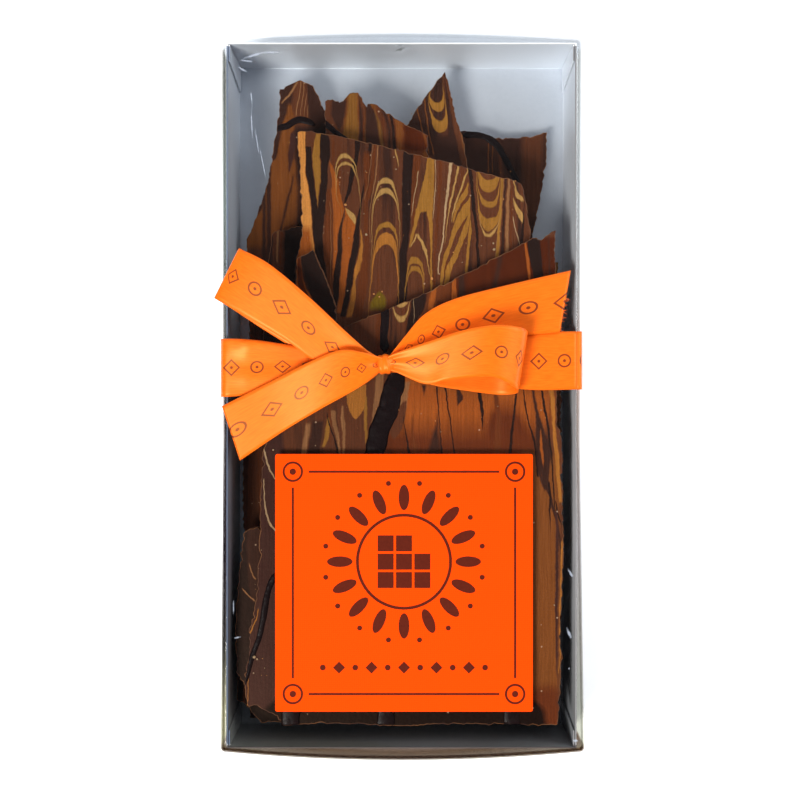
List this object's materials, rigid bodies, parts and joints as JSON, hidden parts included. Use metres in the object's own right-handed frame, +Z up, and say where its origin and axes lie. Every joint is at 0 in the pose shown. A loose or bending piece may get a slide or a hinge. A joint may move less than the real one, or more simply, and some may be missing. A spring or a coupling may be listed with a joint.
{
  "type": "boxed chocolate bark",
  "caption": "Shards of marbled chocolate bark standing in a shallow silver card tray under a clear lid, with a square orange label and an orange satin ribbon tied in a bow.",
  "frame": {"origin": "centre of the bounding box at the surface the pack lies on", "axes": "+Z up out of the clear front, +Y along the box to the end where the bark tips show, +X to the right of the label as it is read"},
  "size_m": [0.1042, 0.2102, 0.0442],
  "materials": {
    "silver_card": "silver foil laminated on card, soft blurred reflections",
    "clear_film": "clear rigid plastic film, glossy",
    "label_paper": "uncoated orange paper with a fine linen emboss",
    "orange_satin": "single-face satin weave with a soft sheen",
    "bark_milk": "milk chocolate, satin, marbled with caramel and pale yellow streaks",
    "bark_caramel": "caramel-coloured chocolate with brown combed streaks, satin",
    "bark_dark": "dark and milk chocolate marbled, satin"
  },
  "bodies": {
    "root": {"tray": "silver_card", "lid": "clear_film", "label": "label_paper", "ribbon": "orange_satin", "bark_front": "bark_milk", "bark_small_front": "bark_caramel", "bark_middle": "bark_milk", "bark_low_left": "bark_dark", "bark_left": "bark_dark", "bark_rear_centre": "bark_caramel", "bark_low_right": "bark_caramel", "bark_low_centre": "bark_dark", "bark_rear_left": "bark_milk", "bark_pointed": "bark_caramel", "bark_rear_right": "bark_dark", "bark_lowest": "bark_milk"}
  },
  "joints": []
}
